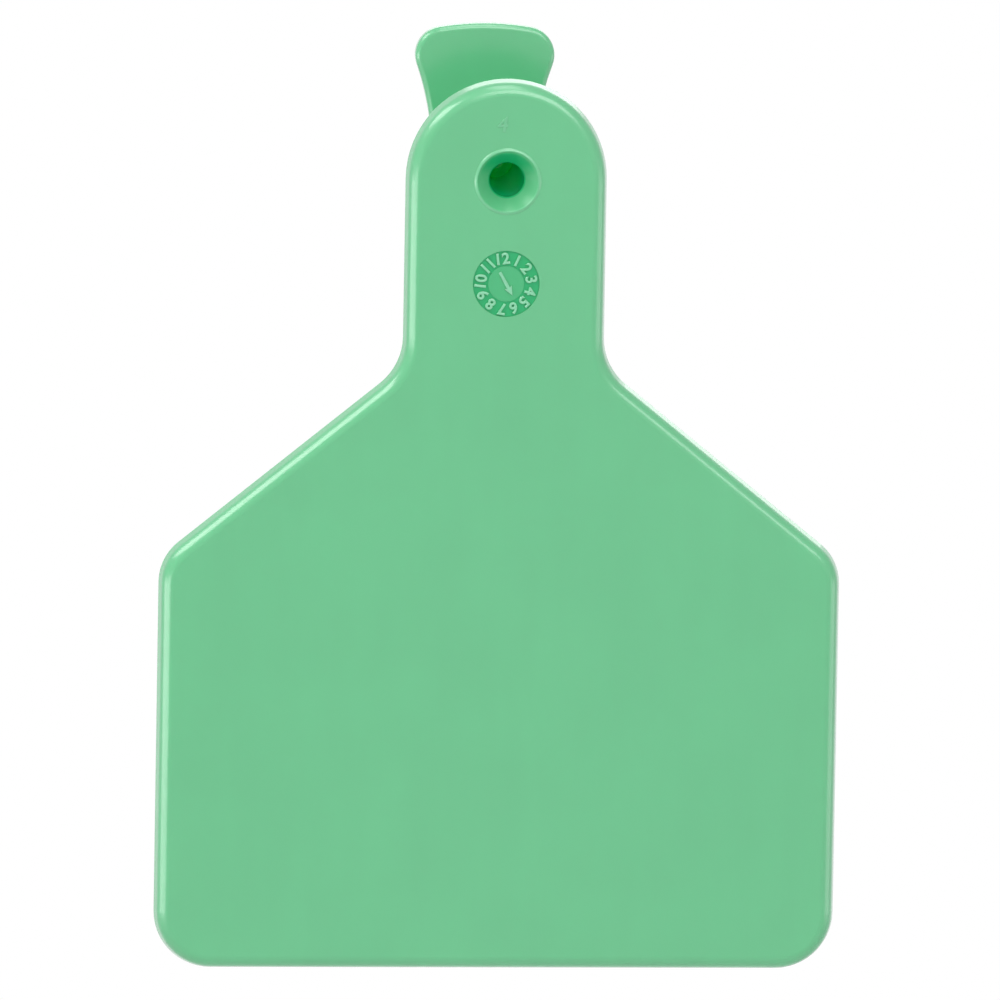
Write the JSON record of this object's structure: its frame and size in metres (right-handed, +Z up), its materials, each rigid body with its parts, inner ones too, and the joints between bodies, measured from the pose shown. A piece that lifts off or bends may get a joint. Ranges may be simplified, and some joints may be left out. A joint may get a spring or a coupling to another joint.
{
  "type": "livestock ear tag",
  "caption": "One-piece moulded livestock ear tag: wide blank panel, round-topped neck, hollow stud through the ear and a fishtail anchor head behind it.",
  "frame": {"origin": "on the stud's axis, in the back face of the neck that lies against the ear", "axes": "+Z up as the tag hangs, +Y from the printed front to the back along the stud, +X to the viewer's right"},
  "size_m": [0.0762, 0.0201, 0.1048],
  "materials": {
    "tag_green": "soft satin, mint green flexible polyurethane"
  },
  "bodies": {
    "root": {"ear_tag": "tag_green"}
  },
  "joints": []
}
